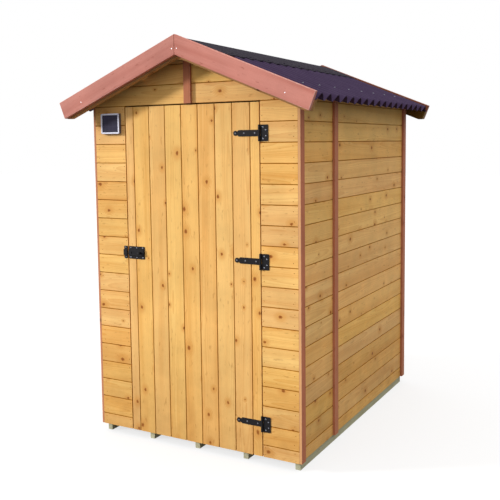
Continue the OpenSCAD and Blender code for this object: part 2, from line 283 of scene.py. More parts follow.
def pick(piece, kind, test):
    """Selects the faces, edges or corners that pass a test of their middle and direction."""
    bpy.ops.mesh.select_mode(type=kind)
    bpy.ops.mesh.select_all(action="DESELECT")
    form = bmesh.from_edit_mesh(piece.data)
    if kind == "FACE":
        found = [f for f in form.faces if test(f.calc_center_median(), f.normal)]
    elif kind == "EDGE":
        ends = [(e, e.verts[0].co, e.verts[1].co) for e in form.edges]
        found = [e for e, a, b in ends if test((a + b) / 2, (b - a).normalized())]
    else:
        found = [v for v in form.verts if test(v.co)]
    for element in found:
        element.select_set(True)
    form.select_flush_mode()
    bmesh.update_edit_mesh(piece.data)


def push(offset):
    """Extrudes what is selected."""
    bpy.ops.mesh.extrude_region_move(TRANSFORM_OT_translate={"value": offset})


def outward():
    """Turns all faces of the edited piece outwards."""
    bpy.ops.mesh.select_all(action="SELECT")
    bpy.ops.mesh.normals_make_consistent(inside=False)


def round_off(piece, offset, segments, test):
    """Bevels the edges of the edited piece that pass a test."""
    pick(piece, "EDGE", test)
    bpy.ops.mesh.bevel(offset=offset, segments=segments, affect="EDGES")


def score(point, normal):
    """Cuts the edited piece along a plane and keeps both sides."""
    bpy.ops.mesh.select_all(action="SELECT")
    bpy.ops.mesh.bisect(plane_co=point, plane_no=normal)


def saw(piece, point, normal):
    """Saws off what lies on the normal's side of a plane and closes the cut."""
    with editing(piece):
        bpy.ops.mesh.bisect(plane_co=point, plane_no=normal, clear_outer=True)
        bpy.ops.mesh.select_all(action="SELECT")
        bpy.ops.mesh.fill_holes(sides=0)
        outward()


def face_outwards(piece):
    """Merges what touches and turns all faces outwards."""
    with editing(piece):
        bpy.ops.mesh.remove_doubles(threshold=HAIR)
        bpy.ops.mesh.normals_make_consistent(inside=False)


def apply_modifier(piece, kind, **settings):
    """Adds a modifier with its settings and applies it."""
    modifier = piece.modifiers.new(kind.lower(), kind)
    for key, value in settings.items():
        setattr(modifier, key, value)
    only(piece)
    bpy.ops.object.modifier_apply(modifier=modifier.name)


def ease(piece, width=EASED, segments=2):
    """Rounds the sharp edges of the piece a little."""
    apply_modifier(piece, "BEVEL", width=width, segments=segments, limit_method="ANGLE",
                   angle_limit=EASE_ANGLE)


def cut_out(piece, cutter):
    """Takes the cutter's shape out of the piece."""
    apply_modifier(piece, "BOOLEAN", operation="DIFFERENCE", solver="EXACT", object=cutter)
    bpy.data.objects.remove(cutter)


def weld(piece, other):
    """Makes one solid of two that overlap."""
    apply_modifier(piece, "BOOLEAN", operation="UNION", solver="EXACT", object=other)
    bpy.data.objects.remove(other)


def row(piece, count, step):
    """Repeats the piece in a straight row."""
    apply_modifier(piece, "ARRAY", count=count, use_relative_offset=False,
                   use_constant_offset=True, constant_offset_displace=step)


def joined(parts, name):
    """Joins the parts into one piece."""
    bpy.ops.object.select_all(action="DESELECT")
    for part in parts:
        part.select_set(True)
    bpy.context.view_layer.objects.active = parts[0]
    if len(parts) > 1:
        bpy.ops.object.join()
    parts[0].name = name
    return parts[0]


def copies(master, name, places):
    """Copies the master to each place, every copy with its own mesh, as one piece."""
    twins = []
    for place in places:
        twin = master.copy()
        twin.data = master.data.copy()
        twin.data.transform(place if isinstance(place, Matrix) else Matrix.Translation(place))
        bpy.context.collection.objects.link(twin)
        twins.append(twin)
    bpy.data.objects.remove(master)
    return joined(twins, name)


def turned(piece, axis, angle, place=(0, 0, 0)):
    """Turns the finished piece about an axis through the origin, then moves it."""
    piece.rotation_euler = [angle if name == axis else 0 for name in "XYZ"]
    piece.location = place
    settle(piece)
    return piece


def islands(mesh):
    """Corner numbers of each separate solid in a mesh."""
    form = bmesh.new()
    form.from_mesh(mesh)
    seen = set()
    found = []
    for first in form.verts:
        if first.index in seen:
            continue
        seen.add(first.index)
        group = [first]
        for corner in group:
            for edge in corner.link_edges:
                other = edge.other_vert(corner)
                if other.index not in seen:
                    seen.add(other.index)
                    group.append(other)
        found.append([corner.index for corner in group])
    form.free()
    return found


def mark(piece, name, number):
    """Writes a number on every corner of the piece, worked out from its place and its normal."""
    notes = piece.data.attributes.new(name, "FLOAT", "POINT")
    for corner in piece.data.vertices:
        notes.data[corner.index].value = number(corner.co, corner.normal)


def mark_joints(boards):
    """Notes how deep in a joint each corner of a run of boards lies, before it is turned to its wall."""
    mark(boards, "joint", lambda place, normal:
         min(1.0, place.y / TONGUE_FRONT) if place.y < BOARD_T - NEAR else 0.0)


def mark_edges(piece, along, across, mitre=0.0):
    """Notes the rounded edges of a piece, where its stain wears pale, but not along a mitre at x = 0."""
    axes = (Vector(along), Vector(across), Vector(along).cross(Vector(across)))

    def worn(place, normal):
        square = max(abs(normal.dot(axis)) for axis in axes)
        return 1.0 if square < WORN_BELOW and abs(place.x) >= mitre else 0.0

    mark(piece, "edge", worn)


def mark_paler_edges(piece, low, high):
    """Notes the outer sawn edges of the corner strips, which are painted paler, most on the right."""
    def share(place, normal):
        if min(place.y - low.y, high.y - place.y) >= NEAR:
            return 0.0
        return PALER_RIGHT if place.x > 0.0 else PALER_LEFT

    mark(piece, "thin", share)


def mark_mitre(piece, inner_y=None):
    """Notes a board's sawn mitre at the ridge, dark between its edges, and painted shade on an inner face.
    """
    def mitre_dark_and_shade(place, normal):
        if abs(place.x) < TOUCHING:
            return 1.0
        # A share of the joint darkening on a rear board's inner face: painted shade.
        return INNER_FACE_SHADE if inner_y is not None and place.y < inner_y + NEAR else 0.0

    mark(piece, "joint", mitre_dark_and_shade)


def mark_grain(piece, along, across):
    """Gives every board of the piece its own place in a log, for the grain, and its own tone."""
    draw = random.Random(piece.name)
    along = Vector(along)
    across = Vector(across)
    through = along.cross(across)
    mesh = piece.data
    grain = mesh.attributes.new("grain", "FLOAT_VECTOR", "POINT")
    tone = mesh.attributes.new("tone", "FLOAT_VECTOR", "POINT")
    for corners in islands(mesh):
        places = [mesh.vertices[i].co for i in corners]
        middle = sum(places, Vector()) / len(places)
        start = draw.uniform(0, LOG_LENGTH)
        aside = draw.uniform(-HEART_ASIDE, HEART_ASIDE)
        heart = Vector((aside, draw.choice((-1, 1)) * draw.uniform(*HEART_DEPTH)))
        lean = Vector((draw.uniform(-LEAN_ASIDE, LEAN_ASIDE), draw.uniform(-LEAN_DEEP, LEAN_DEEP)))
        shade = (draw.uniform(-1, 1), draw.uniform(-1, 1), draw.uniform(-1, 1))
        for i in corners:
            away = mesh.vertices[i].co - middle
            run = away.dot(along)
            grain.data[i].vector = (start + run, heart.x + away.dot(across) + lean.x * run,
                                    heart.y + away.dot(through) + lean.y * run)
            tone.data[i].vector = shade


def dress(piece, material, body, *nodes):
    """Finishes a piece: material, smooth rounded edges, the body it rides on, the nodes it stands for."""
    piece.data.materials.clear()
    piece.data.materials.append(material)
    only(piece)
    bpy.ops.object.shade_smooth_by_angle(angle=SMOOTH_ANGLE)
    apply_modifier(piece, "WEIGHTED_NORMAL", keep_sharp=True)
    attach(piece, body)
    if nodes:
        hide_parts(*nodes)
    return piece


# Material helpers

class Graph:
    """Adds shader nodes to a tree: an input given as a socket is linked, any other value is set.
    Inputs are given by their socket's name in small letters."""

    def __init__(self, tree):
        self.tree = tree

    def feed(self, socket, value):
        if isinstance(value, bpy.types.NodeSocket):
            self.tree.links.new(value, socket)
        else:
            socket.default_value = value

    def add(self, kind, settings=None, **inputs):
        node = self.tree.nodes.new(kind)
        for key, value in (settings or {}).items():
            setattr(node, key, value)
        for key, value in inputs.items():
            self.feed(node.inputs[key.replace("_", " ").title()], value)
        return node

    def math(self, operation, *values):
        node = self.tree.nodes.new("ShaderNodeMath")
        node.operation = operation
        for socket, value in zip(node.inputs, values):
            self.feed(socket, value)
        return node.outputs[0]

    def stretch(self, vector, scale):
        return self.add("ShaderNodeMapping", vector=vector, scale=scale).outputs[0]

    def noise(self, vector, scale, detail=2.0, rough=0.5):
        node = self.add("ShaderNodeTexNoise", vector=vector, scale=scale, detail=detail, roughness=rough)
        return node.outputs["Fac"]

    def ramp(self, value, low, high, to_low=0.0, to_high=1.0):
        node = self.add("ShaderNodeMapRange", {"interpolation_type": "SMOOTHSTEP"}, value=value,
                        from_min=low, from_max=high, to_min=to_low, to_max=to_high)
        return node.outputs[0]

    def mix(self, share, first, second, blend="MIX"):
        node = self.tree.nodes.new("ShaderNodeMix")
        node.data_type = "RGBA"
        node.blend_type = blend
        self.feed(node.inputs[0], share)
        self.feed(node.inputs[6], first)
        self.feed(node.inputs[7], second)
        return node.outputs[2]

    def tint(self, colour, hue, saturation, value):
        node = self.add("ShaderNodeHueSaturation", color=colour, hue=hue, saturation=saturation,
                        value=value)
        return node.outputs[0]

    def bump(self, height, strength, distance):
        return self.add("ShaderNodeBump", height=height, strength=strength, distance=distance).outputs[0]

    def place(self):
        return self.add("ShaderNodeTexCoord").outputs["Object"]

    def attribute(self, name, output):
        return self.add("ShaderNodeAttribute", {"attribute_name": name}).outputs[output]

    def seen_directly(self):
        """1 where the camera sees a surface, itself or mirrored, and 0 where it only lights others."""
        path = self.add("ShaderNodeLightPath").outputs
        mirrored = self.math("MAXIMUM", path["Is Glossy Ray"], path["Is Transmission Ray"])
        return self.math("MAXIMUM", path["Is Camera Ray"], mirrored)

    def group(self, tree, **inputs):
        return self.add("ShaderNodeGroup", {"node_tree": tree}, **inputs).outputs


def colour(red, green, blue):
    """A screen colour of 0 to 255 as the linear colour that a shader takes."""
    def linear(part):
        part /= 255
        return part / 12.92 if part <= 0.04045 else ((part + 0.055) / 1.055) ** 2.4
    return (linear(red), linear(green), linear(blue), 1.0)


def new_group(name, inputs, outputs):
    """An empty node group: an input's kind follows its default, an output is a number or Color."""
    tree = bpy.data.node_groups.new(name, "ShaderNodeTree")
    kinds = {3: "NodeSocketVector", 4: "NodeSocketColor"}
    for key, default in inputs.items():
        kind = "NodeSocketFloat" if isinstance(default, float) else kinds[len(default)]
        socket = tree.interface.new_socket(key, in_out="INPUT", socket_type=kind)
        socket.default_value = default
    for key in outputs:
        kind = "NodeSocketColor" if key == "Color" else "NodeSocketFloat"
        tree.interface.new_socket(key, in_out="OUTPUT", socket_type=kind)
    graph = Graph(tree)
    return graph, graph.add("NodeGroupInput").outputs, graph.add("NodeGroupOutput").inputs


def wood_figure():
    """Growth rings, fibres, streaks and knots of a softwood board."""
    g, given, out = new_group(
        "wood_figure",
        {"Grain": (0.0, 0.0, 0.0), "Ring Width": 0.004, "Knot Share": 0.3, "Knot Radius": 0.007},
        ("Latewood", "Fibre", "Streak", "Fleck", "Knot", "Halo"))
    grain = given["Grain"]
    cells = 9.0
    oval = g.stretch(grain, (0.75, 1.0, 1.0))
    knots = g.add("ShaderNodeTexVoronoi", {"voronoi_dimensions": "2D"}, vector=oval, scale=cells,
                  randomness=0.85)
    away = g.math("DIVIDE", knots.outputs["Distance"], cells)
    chance = g.add("ShaderNodeSeparateColor", color=knots.outputs["Color"]).outputs
    there = g.math("LESS_THAN", chance["Red"], given["Knot Share"])
    radius = g.math("MULTIPLY", given["Knot Radius"], g.math("ADD", chance["Green"], 0.4))
    rough_edge = g.math("MULTIPLY_ADD", g.noise(grain, 130.0), 0.008, away)
    ragged = g.math("SUBTRACT", rough_edge, 0.004)
    knot = g.math("MULTIPLY", g.ramp(ragged, radius, g.math("MULTIPLY", radius, 0.3)), there)
    halo = g.math("MULTIPLY", g.ramp(away, g.math("MULTIPLY", radius, 3.5), radius), there)
    wander = g.noise(g.stretch(grain, (1.3, 7.0, 7.0)), 1.0)
    cross = g.stretch(grain, (0.0, 1.0, 1.0))
    depth = g.add("ShaderNodeVectorMath", {"operation": "LENGTH"}, vector=cross).outputs["Value"]
    swell = g.math("MULTIPLY_ADD", wander, 0.022, g.math("MULTIPLY", halo, 0.008))
    year = g.math("FRACT", g.math("DIVIDE", g.math("ADD", depth, swell), given["Ring Width"]))
    g.feed(out["Latewood"], g.math("POWER", year, 2.2))
    g.feed(out["Fibre"], g.noise(g.stretch(grain, (16.0, 420.0, 420.0)), 1.0, 3.0, 0.6))
    g.feed(out["Streak"], g.noise(g.stretch(grain, (0.9, 24.0, 24.0)), 1.0, 2.0))
    g.feed(out["Fleck"], g.ramp(g.noise(g.stretch(grain, (22.0, 75.0, 75.0)), 1.0, 2.0), 0.63, 0.74))
    g.feed(out["Knot"], knot)
    g.feed(out["Halo"], halo)
    return g.tree


def ground_splash():
    """Mask that darkens the lowest part of a piece in clouds, strongest at the lowest edge."""
    g, given, out = new_group("ground_splash", {"Place": (0.0, 0.0, 0.0), "Reach": 0.7}, ("Dirt",))
    height = g.add("ShaderNodeSeparateXYZ", vector=given["Place"]).outputs["Z"]
    cloud = g.noise(given["Place"], 9.0, 4.0, 0.6)
    low = g.ramp(height, given["Reach"], 0.0)
    g.feed(out["Dirt"], g.math("MULTIPLY", low, cloud))
    return g.tree


def surface_speckle():
    """Fine speckle and broad clouds of a rolled, painted or moulded surface."""
    g, given, out = new_group("surface_speckle", {"Place": (0.0, 0.0, 0.0), "Fine": 900.0, "Broad": 7.0},
                              ("Speckle", "Cloud"))
    g.feed(out["Speckle"], g.noise(given["Place"], given["Fine"], 2.0, 0.6))
    g.feed(out["Cloud"], g.noise(given["Place"], given["Broad"], 4.0, 0.6))
    return g.tree


def stained_wood(figure_group, low_down_group, speckle_group):
    """Stain over softwood: rings, fibres, flecks, knots, a tone for each board, worn edges, paler marked
    edges, darker and browner low down, dark joints, and painted shade on inner faces marked like joints."""
    g, given, out = new_group(
        "stained_wood",
        {"Grain": (0.0, 0.0, 0.0), "Tone": (0.0, 0.0, 0.0), "Place": (0.0, 0.0, 0.0),
         "Joint": 0.0, "Edge": 0.0, "Thin": 0.0,
         "Pale": WHITE, "Dark": WHITE, "Knot Colour": WHITE, "Rings": 0.5, "Vary": 0.10, "Warm": 0.012,
         "Knot Share": 0.3, "Knot Radius": 0.007, "Flecks": 0.3, "Dirt": 0.35, "Wear": 0.0, "Gloss": 0.55},
        ("Color", "Roughness", "Height"))
    board = g.add("ShaderNodeSeparateXYZ", vector=given["Tone"]).outputs
    figure = g.group(figure_group, grain=given["Grain"], knot_share=given["Knot Share"],
                     knot_radius=given["Knot Radius"])
    low_down_mask = g.group(low_down_group, place=given["Place"])
    patch = g.group(speckle_group, place=given["Place"], fine=60.0, broad=5.0)
    ringed = g.mix(g.math("MULTIPLY", figure["Latewood"], given["Rings"]), given["Pale"], given["Dark"])
    streaked = g.mix(g.ramp(figure["Streak"], 0.35, 0.75, 0.0, 0.5), ringed, given["Dark"])
    bright = g.math("MULTIPLY_ADD", board["X"], given["Vary"], 1.0)
    fine = g.math("MULTIPLY_ADD", g.math("SUBTRACT", figure["Fibre"], 0.5), 0.22, bright)
    cloudy = g.math("MULTIPLY_ADD", g.math("SUBTRACT", patch["Cloud"], 0.5), 0.4, fine)
    hue = g.math("MULTIPLY_ADD", board["Y"], given["Warm"], 0.5)
    rich = g.math("MULTIPLY_ADD", board["Z"], 0.04, 1.0)
    toned = g.tint(streaked, hue, rich, cloudy)
    flecked = g.mix(g.math("MULTIPLY", figure["Fleck"], given["Flecks"]), toned, RESIN, "MULTIPLY")
    ringed_knot = g.mix(g.math("MULTIPLY", figure["Halo"], 0.6), flecked, given["Dark"])
    knotted = g.mix(figure["Knot"], ringed_knot, given["Knot Colour"])
    least = g.math("MULTIPLY", given["Wear"], 0.3)
    worn = g.math("MULTIPLY", given["Edge"], g.ramp(patch["Speckle"], 0.35, 0.65, least, given["Wear"]))
    rubbed = g.mix(worn, knotted, RUBBED_EDGE)
    # The corner strips' outer edges painted paler, where the thin mask is set.
    paled = g.mix(given["Thin"], rubbed, PALER_EDGE_COLOUR)
    # Darker and browner towards the bottom of each piece.
    darkened_low = g.mix(g.math("MULTIPLY", low_down_mask["Dirt"], given["Dirt"]), paled, LOW_DOWN_BROWN)
    # Darker in joints and mitres; on rear boards' inner faces this is painted shade.
    g.feed(out["Color"], g.mix(g.ramp(given["Joint"], 0.0, 0.35), darkened_low, JOINT_DARK_AND_SHADE, "MULTIPLY"))
    smoothest = g.math("SUBTRACT", given["Gloss"], 0.12)
    g.feed(out["Roughness"], g.math("MULTIPLY_ADD", figure["Fibre"], 0.25, smoothest))
    g.feed(out["Height"], g.math("MULTIPLY_ADD", figure["Latewood"], 0.5, figure["Fibre"]))
    return g.tree


WHITE = (1.0, 1.0, 1.0, 1.0)
RUBBED_EDGE = colour(240, 214, 204)
# Colour painted onto the outer edges of the corner strips.
PALER_EDGE_COLOUR = colour(244, 196, 132)
# Colour mixed in towards the bottom.
LOW_DOWN_BROWN = colour(150, 98, 48)
RESIN = (0.42, 0.18, 0.04, 1.0)
# Multiplied into joints and mitres, and into rear boards' inner faces, where it is painted shade.
JOINT_DARK_AND_SHADE = (0.58, 0.40, 0.06, 1.0)
SURFACE_SPECKLE = surface_speckle()
STAINED_WOOD = stained_wood(wood_figure(), ground_splash(), SURFACE_SPECKLE)
SLOT_OF = {m["slot"]: m["slot"] for m in frame["record"]["materials"]}
SLOT_OF.update(red_strip_stain="red_stain", rear_red_stain="red_stain",
               rafter_wood="plain_wood", rear_rafter_wood="plain_wood")


def new_material(name):
    """A material with its shader, ready for its nodes."""
    material = bpy.data.materials.new(name)
    material.use_nodes = True
    return material, Graph(material.node_tree), material.node_tree.nodes["Principled BSDF"]


def wood(name, pale, dark, knot_colour, relief=0.25, shine=0.08, **values):
    """Softwood in a stain of its own, with the values of stained_wood that differ from its defaults."""
    material, g, shader = new_material(name)
    board = g.group(STAINED_WOOD, grain=g.attribute("grain", "Vector"), tone=g.attribute("tone", "Vector"),
                    joint=g.attribute("joint", "Fac"), edge=g.attribute("edge", "Fac"),
                    thin=g.attribute("thin", "Fac"), place=g.place(),
                    pale=pale, dark=dark, knot_colour=knot_colour, **values)
    g.feed(shader.inputs["Base Color"], board["Color"])
    g.feed(shader.inputs["Roughness"], board["Roughness"])
    g.feed(shader.inputs["Normal"], g.bump(board["Height"], relief, 0.0006))
    shader.inputs["Specular IOR Level"].default_value = shine
    return material


def speckled(name, base, light, rough, strength=0.3, share=0.5, fine=900.0, broad=7.0, metal=0.0, shine=0.5,
             side=None):
    """A painted, moulded or rolled surface: fine speckle, soft clouds, and sides of another colour."""
    material, g, shader = new_material(name)
    surface = g.group(SURFACE_SPECKLE, place=g.place(), fine=fine, broad=broad)
    worn = g.math("MULTIPLY", g.ramp(surface["Cloud"], 0.35, 0.75), share)
    grainy = g.math("MULTIPLY_ADD", g.ramp(surface["Speckle"], 0.45, 0.75), share, worn)
    face = g.mix(grainy, base, light)
    g.feed(shader.inputs["Base Color"], g.mix(g.attribute("side", "Fac"), face, side) if side else face)
    g.feed(shader.inputs["Roughness"], g.math("MULTIPLY_ADD", surface["Cloud"], 0.2, rough - 0.1))
    g.feed(shader.inputs["Normal"], g.bump(surface["Speckle"], strength, 0.0006))
    shader.inputs["Metallic"].default_value = metal
    shader.inputs["Specular IOR Level"].default_value = shine
    return material


def solar_cells(name):
    """Dark glossy cells with thin silver lines."""
    material, g, shader = new_material(name)
    place = g.add("ShaderNodeSeparateXYZ", vector=g.place()).outputs
    lines = []
    for axis, pitch, width in (("X", 0.0255, 0.0009), ("Z", 0.0220, 0.0007)):
        step = g.math("PINGPONG", place[axis], pitch / 2)
        lines.append(g.math("LESS_THAN", step, width / 2))
    line = g.math("MAXIMUM", *lines)
    cloud = g.noise(g.place(), 22.0, 3.0)
    cell = g.mix(cloud, colour(36, 35, 42), colour(54, 48, 76))
    g.feed(shader.inputs["Base Color"], g.mix(g.math("MULTIPLY", line, 0.15), cell, colour(120, 120, 140)))
    g.feed(shader.inputs["Roughness"], g.math("MULTIPLY_ADD", cloud, 0.1, 0.32))
    shader.inputs["Specular IOR Level"].default_value = 0.12
    return material


RED_GRAIN = {"rings": 0.35, "vary": 0.05, "warm": 0.005, "knot_share": 0.2, "dirt": 0.15, "gloss": 0.65}
HONEY = wood("honey_boards", colour(246, 197, 120), colour(220, 154, 77), colour(152, 86, 34),
             vary=0.05, warm=0.004, knot_share=0.42, knot_radius=0.009, dirt=0.6)
PLAIN = wood("plain_wood", colour(232, 190, 124), colour(200, 148, 84), colour(110, 68, 30), gloss=0.7)
# Plain wood made darker for the front rafters; the darkening is in part painted shade under the barge
# boards.
RAFTER_AND_SHADE = wood("rafter_wood", colour(180, 134, 90), colour(150, 102, 62), colour(92, 58, 34), gloss=0.7)
# The rafter wood made darker and more olive for the rear rafters: painted shade.
REAR_RAFTER_SHADED = wood("rear_rafter_wood", colour(132, 112, 74), colour(104, 86, 52), colour(72, 54, 34),
                   gloss=0.7)
TREATED = wood("treated_wood", colour(210, 212, 182), colour(178, 180, 142), colour(110, 100, 70),
               gloss=0.8, relief=0.5)
RED = wood("red_stain", colour(208, 144, 129), colour(172, 102, 86), colour(122, 64, 56),
           flecks=0.4, wear=0.8, **RED_GRAIN)
# The red stain made darker and greyer for the rear barge boards: painted shade.
REAR_RED_SHADED = wood("rear_red_stain", colour(166, 116, 110), colour(136, 88, 82), colour(104, 58, 52),
                flecks=0.4, **RED_GRAIN)
RED_STRIP = wood("red_strip_stain", colour(197, 126, 95), colour(167, 97, 69), colour(112, 60, 46),
                 wear=0.35, **RED_GRAIN)
SHEET = speckled("bitumen_sheet", colour(58, 42, 70), colour(74, 59, 86), 0.9, shine=0.15)
CAP = speckled("bitumen_cap", colour(34, 28, 40), colour(48, 41, 54), 0.9, shine=0.1)
IRON = speckled("black_iron", colour(16, 15, 18), colour(30, 28, 32), 0.55, strength=0.12,
                fine=1500.0, shine=0.15)
PLASTIC = speckled("pale_plastic", colour(232, 232, 246), colour(212, 212, 234), 0.4, strength=0.05,
                   side=colour(92, 86, 92))
CELLS = solar_cells("navy_cell")
ZINC = speckled("zinc_steel", colour(146, 148, 158), colour(104, 104, 114), 0.5, strength=0.08,
                metal=1.0)
BRIGHT_ZINC = speckled("bright_zinc", colour(232, 230, 234), colour(206, 204, 210), 0.45, strength=0.08,
                       metal=1.0)
NAIL = speckled("nail_steel", colour(176, 108, 36), colour(146, 84, 26), 0.7, strength=0.08, shine=0.05)


# Boarded walls and door

def one_board(name, length, low):
    """One tongued and grooved board along X, its face at y = 0 and its lower edge at low."""
    height = BOARD_COVER - JOINT_GAP
    top = low + height
    board = new_piece(bpy.ops.mesh.primitive_plane_add, name, size=1,
                      location=(0, BOARD_T / 2, low + height / 2),
                      rotation=(0, math.pi / 2, 0), scale=(height, BOARD_T, 1))
    with editing(board):
        score((0, TONGUE_FRONT, 0), (0, 1, 0))
        score((0, TONGUE_BACK, 0), (0, 1, 0))
        score((0, 0, low + GROOVE_DEPTH), (0, 0, 1))
        pick(board, "FACE", lambda c, n: TONGUE_FRONT < c.y < TONGUE_BACK and c.z < low + GROOVE_DEPTH)
        bpy.ops.mesh.delete(type="FACE")
        pick(board, "EDGE", lambda c, d: TONGUE_FRONT < c.y < TONGUE_BACK and c.z > top - TOUCHING)
        push((0, 0, TONGUE_LEN))
        bpy.ops.mesh.select_all(action="SELECT")
        bpy.ops.mesh.dissolve_limited(angle_limit=math.radians(1))
        bpy.ops.mesh.select_all(action="SELECT")
        push((length, 0, 0))
        outward()
        round_off(board, JOINT_ROUND, 2, lambda c, d: abs(d.x) > 0.99 and c.y < TOUCHING)
    return board


def board_count(low, high, joint):
    """Lower edge of the first board that reaches over one height, and how many reach up to another."""
    below = math.ceil((joint - low) / BOARD_COVER - HAIR)
    start = joint - below * BOARD_COVER
    return start, math.ceil((high - start) / BOARD_COVER - HAIR)


def board_run(name, length, low, high, joint):
    """Boards along X between two heights, with one of their joints at a given height."""
    start, count = board_count(low, high, joint)
    boards = one_board(name, length, start)
    row(boards, count, (0, 0, BOARD_COVER))
    if start < low - HAIR:
        saw(boards, (0, 0, low), (0, 0, -1))
    if start + count * BOARD_COVER > high + HAIR:
        saw(boards, (0, 0, high), (0, 0, 1))
    mark_joints(boards)
    return boards


def wall_frame(node, facing):
    """The wall seen square on: its left end, its length and its face, before it is turned to its side."""
    back = Matrix.Rotation(-FACING_TURN[facing], 3, "Z")
    a, b = (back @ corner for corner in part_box(node))
    return min(a.x, b.x), abs(b.x - a.x), min(a.y, b.y)


def wall_boards(node, facing):
    """The boards of a wall panel."""
    low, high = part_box(node)
    left, length, face = wall_frame(node, facing)
    boards = board_run(node + "_boards", length, low.z, high.z, FIRST_JOINT_Z)
    mark_grain(boards, ALONG_X, ALONG_Z)
    turned(boards, "Z", 0, (left, face, 0))
    turned(boards, "Z", FACING_TURN[facing])
    dress(boards, HONEY, "cabin", node)


def gable_boards(node, facing):
    """The boards of a gable, butted at the middle, sawn to the slope and notched over the purlins."""
    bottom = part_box(node)[0].z
    left, length, face = wall_frame(node, facing)
    boards = board_run(node + "_boards", length / 2 - JOINT_GAP / 2, bottom, RIDGE_Z + BOARD_T,
                       FIRST_JOINT_Z)
    row(boards, 2, (length / 2 + JOINT_GAP / 2, 0, 0))
    turned(boards, "Z", 0, (left, face, 0))
    for side in (-1, 1):
        saw(boards, (0, 0, RIDGE_Z), (side * math.sin(SLOPE), 0, math.cos(SLOPE)))
    for beam in ("left_purlin", "right_purlin", "ridge_beam"):
        cut_out(boards, beam_cutter(beam, face))
    mark_grain(boards, ALONG_X, ALONG_Z)
    turned(boards, "Z", FACING_TURN[facing])
    dress(boards, HONEY, "cabin", node)


def beam_cutter(beam, face):
    """A block through the gable where a roof timber passes."""
    if beam == "ridge_beam":
        low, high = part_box(beam)
        return block("notch", (low.x, face - BOARD_T, low.z),
                     (high.x, face + 2 * BOARD_T, RIDGE_Z + BOARD_T))
    side = 1 if beam == "right_purlin" else -1
    return slope_block("notch", side, PURLIN_S - PURLIN_W / 2, PURLIN_S + PURLIN_W / 2,
                       -PURLIN_W, PURLIN_W, face - BOARD_T, face + 2 * BOARD_T)


def slope_block(name, side, near, far, low, high, front, rear):
    """A block along one roof slope: near and far down the slope, low and high over the bearing plane."""
    ends = sorted((side * near, side * far))
    piece = block(name, (ends[0], front, low), (ends[1], rear, high))
    return turned(piece, "Y", side * SLOPE, (0, 0, RIDGE_Z))


def door_leaf():
    """The upright boards of the door."""
    low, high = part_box("door_leaf")
    boards = board_run("door_boards", high.z - low.z, -high.x, -low.x, DOOR_FIRST_JOINT)
    mark_grain(boards, ALONG_X, ALONG_Z)
    turned(boards, "Y", -math.pi / 2, (0, low.y, low.z))
    dress(boards, HONEY, "door", "door_leaf")


def floor_deck():
    """Deck boards across the bearers."""
    low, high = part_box("floor_deck")
    boards = board_run("deck_boards", high.x - low.x, low.y, high.y, DECK_FIRST_JOINT)
    mark_grain(boards, ALONG_X, ALONG_Z)
    turned(boards, "X", -math.pi / 2, (low.x, 0, high.z))
    dress(boards, PLAIN, "cabin", "floor_deck")


# Posts, beams and trim

def timbers(node, material, along, size_x=None, size_y=None, eased=EASED):
    """Square bars at the corners of a node's box: all round, or in pairs where a size is left out."""
    low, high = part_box(node)
    wide = size_x or high.x - low.x
    deep = size_y or high.y - low.y
    places = sorted({(round(x, 5), round(y, 5))
                     for x in (low.x, high.x - wide) for y in (low.y, high.y - deep)})
    bars = [block(node, (x, y, low.z), (x + wide, y + deep, high.z)) for x, y in places]
    piece = joined(bars, node + "_timber")
    ease(piece, eased)
    across = ALONG_X if along == ALONG_Y else ALONG_Y
    mark_grain(piece, along, across)
    mark_edges(piece, along, across)
    if node == "corner_strips":
        mark_paler_edges(piece, low, high)
    dress(piece, material, "cabin", node)


def floor_bearers():
    """The bearers under the floor, evenly spaced."""
    low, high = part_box("floor_bearers")
    step = (high.x - low.x - BEARER_W) / (BEARER_COUNT - 1)
    piece = block("floor_bearers_timber", low, (low.x + BEARER_W, high.y, high.z))
    ease(piece)
    row(piece, BEARER_COUNT, (step, 0, 0))
    mark_grain(piece, ALONG_Y, ALONG_X)
    dress(piece, TREATED, "cabin", "floor_bearers")


def at_hinges(piece, name):
    """Copies a piece of the lowest hinge to all three."""
    return copies(piece, name, [(0, 0, z - HINGE_ZS[0]) for z in HINGE_ZS])


def door_ledges():
    """The ledges inside the door, one behind each hinge."""
    piece = block("door_ledge", LEDGES_LOW, (LEDGES_HIGH.x, LEDGES_HIGH.y, LEDGES_LOW.z + LEDGE_H))
    ease(piece, LEDGE_EASED)
    piece = at_hinges(piece, "door_ledges_timber")
    mark_grain(piece, ALONG_X, ALONG_Z)
    dress(piece, PLAIN, "door", "door_ledges")


def purlin(side, node):
    """A purlin square to one roof slope."""
    low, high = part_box(node)
    piece = slope_block(node + "_timber", side, PURLIN_S - PURLIN_W / 2, PURLIN_S + PURLIN_W / 2,
                        -PURLIN_W, 0, low.y, high.y)
    ease(piece)
    mark_grain(piece, ALONG_Y, ALONG_X)
    dress(piece, PLAIN, "cabin", node)


def slope_board(side, node, low_n, high_n, material, eased, front_in=0.0, rear_in=0.0):
    """A board of the gable end: mitred at the ridge, square at the eave, level where it hangs lower."""
    low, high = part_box(node)
    piece = slope_block(node + "_timber", side, -RIDGE_SPARE, EAVE_S, low_n, high_n,
                        low.y + front_in, high.y - rear_in)
    saw(piece, (0, 0, 0), (-side, 0, 0))
    if low_n < BARGE_LOW:
        saw(piece, (0, 0, low.z), (0, 0, -1))
    ease(piece, eased)
    down = (math.cos(SLOPE), 0, -side * math.sin(SLOPE))
    mark_grain(piece, down, ALONG_Y)
    if node.startswith("front"):
        mark_mitre(piece)
        mark_edges(piece, down, ALONG_Y, 2 * eased)
    else:
        # Rear boards: painted shade on the inner face.
        mark_mitre(piece, low.y)
    dress(piece, material, "cabin", node)


# Roof covering

